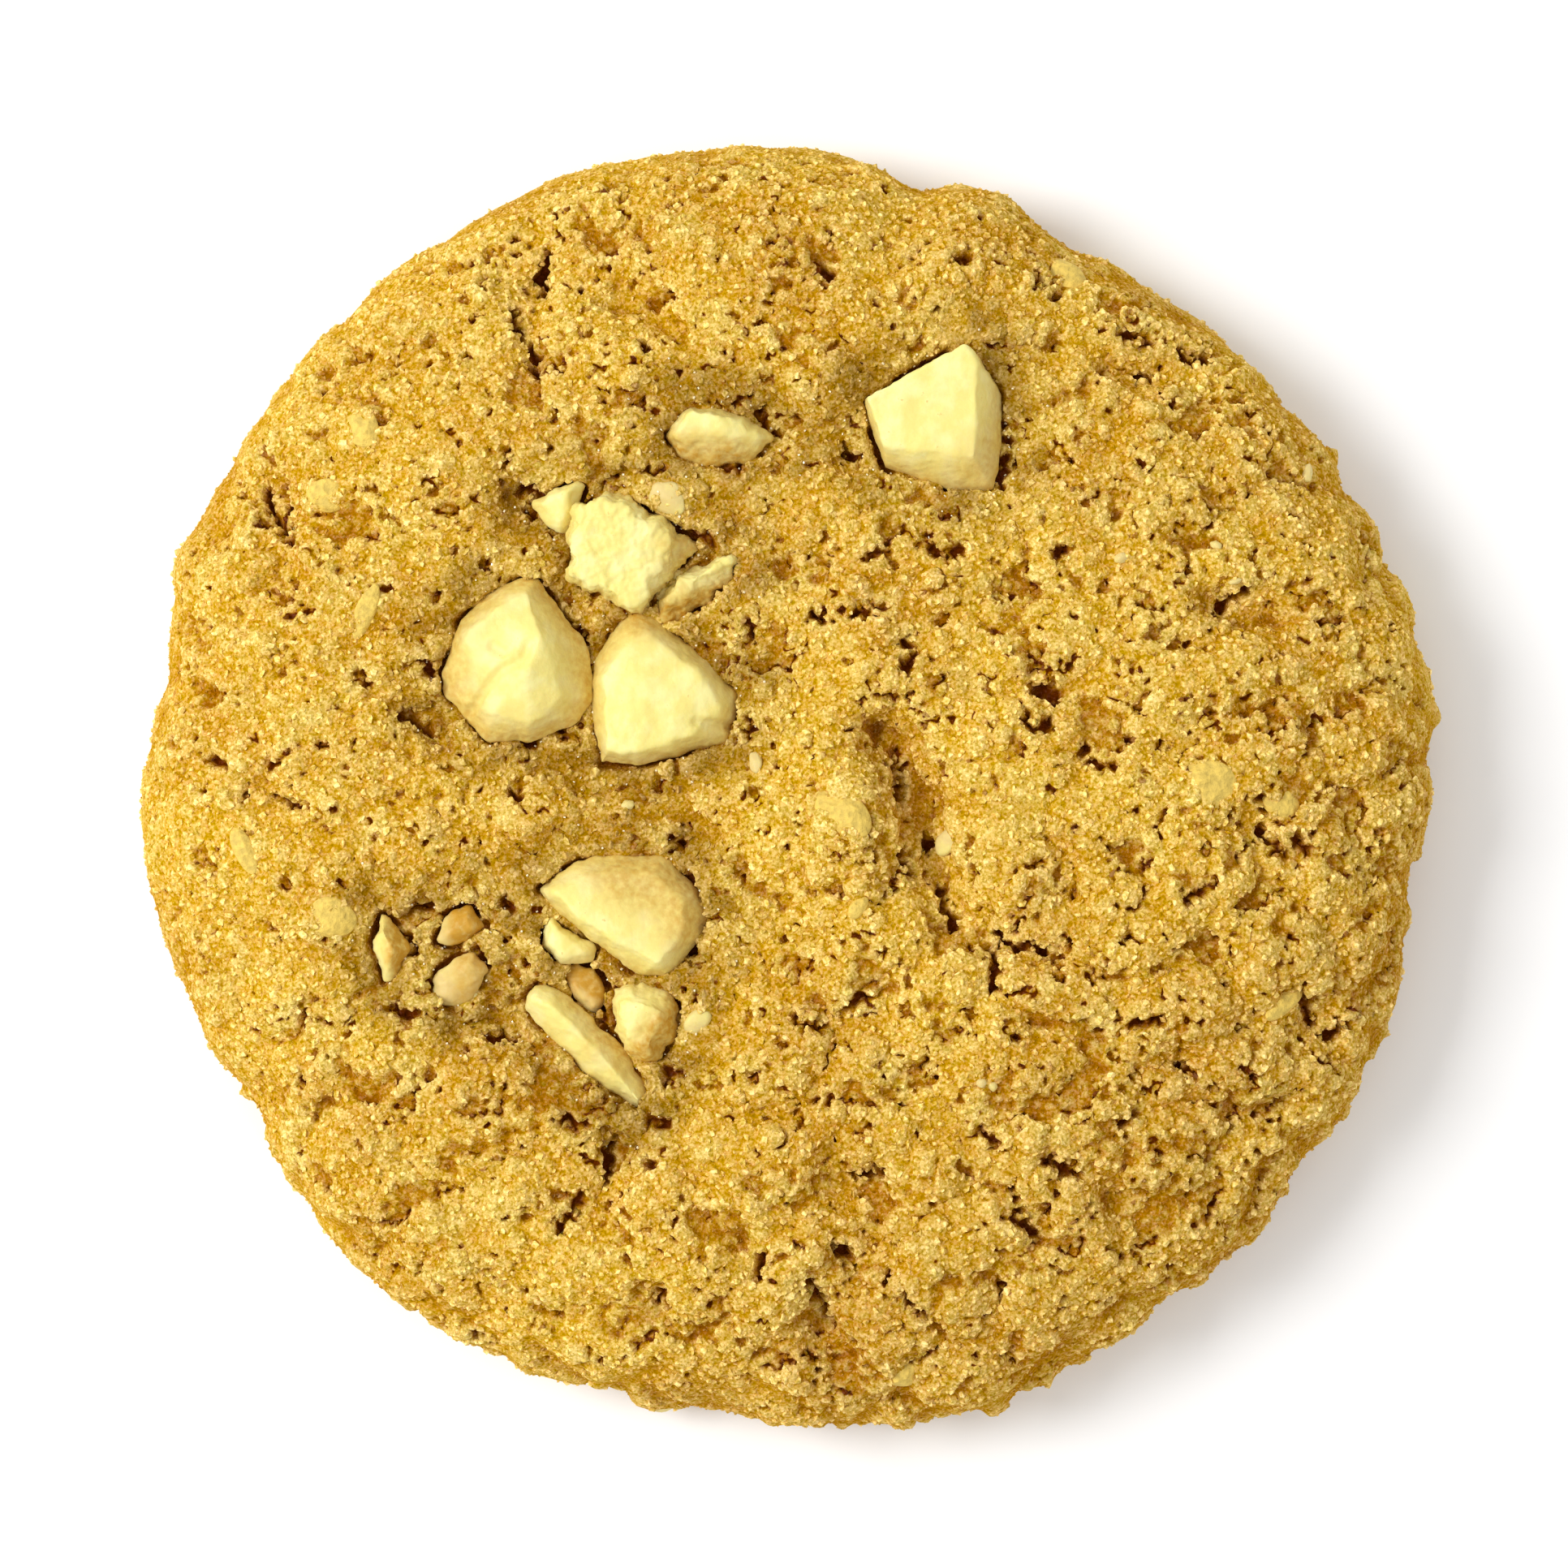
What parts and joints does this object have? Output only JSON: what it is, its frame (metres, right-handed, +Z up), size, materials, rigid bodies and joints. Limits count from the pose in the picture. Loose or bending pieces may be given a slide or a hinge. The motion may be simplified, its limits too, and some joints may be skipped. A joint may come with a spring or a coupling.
{
  "type": "oatmeal cookie",
  "caption": "Round, thick oatmeal cookie with a craggy golden crust, oat flakes and chopped pale nut pieces pressed into its top; flat underside.",
  "frame": {"origin": "middle of the flat underside, where the cookie rests", "axes": "+Z up out of the nutty top, +X to the right and +Y away from the viewer when the top is seen as in the picture"},
  "size_m": [0.0798, 0.0787, 0.0147],
  "materials": {
    "dough": "baked oat dough, dry, grainy and porous, golden brown",
    "nut": "chopped blanched nut, smooth and slightly oily, pale cream",
    "browned_nut": "chopped nut, toasted darker in the oven"
  },
  "bodies": {
    "root": {"dough": "dough", "nut_wedge": "nut", "nut_nub": "nut", "nut_crumbly": "nut", "nut_point": "nut", "nut_curl": "nut", "nut_dome": "nut", "nut_cheek": "nut", "nut_slab": "nut", "nut_chip": "nut", "nut_stick": "nut", "nut_chunk": "nut", "nut_tucked": "browned_nut", "nut_splinter": "nut", "nut_flint": "browned_nut", "nut_oval": "browned_nut"}
  },
  "joints": []
}
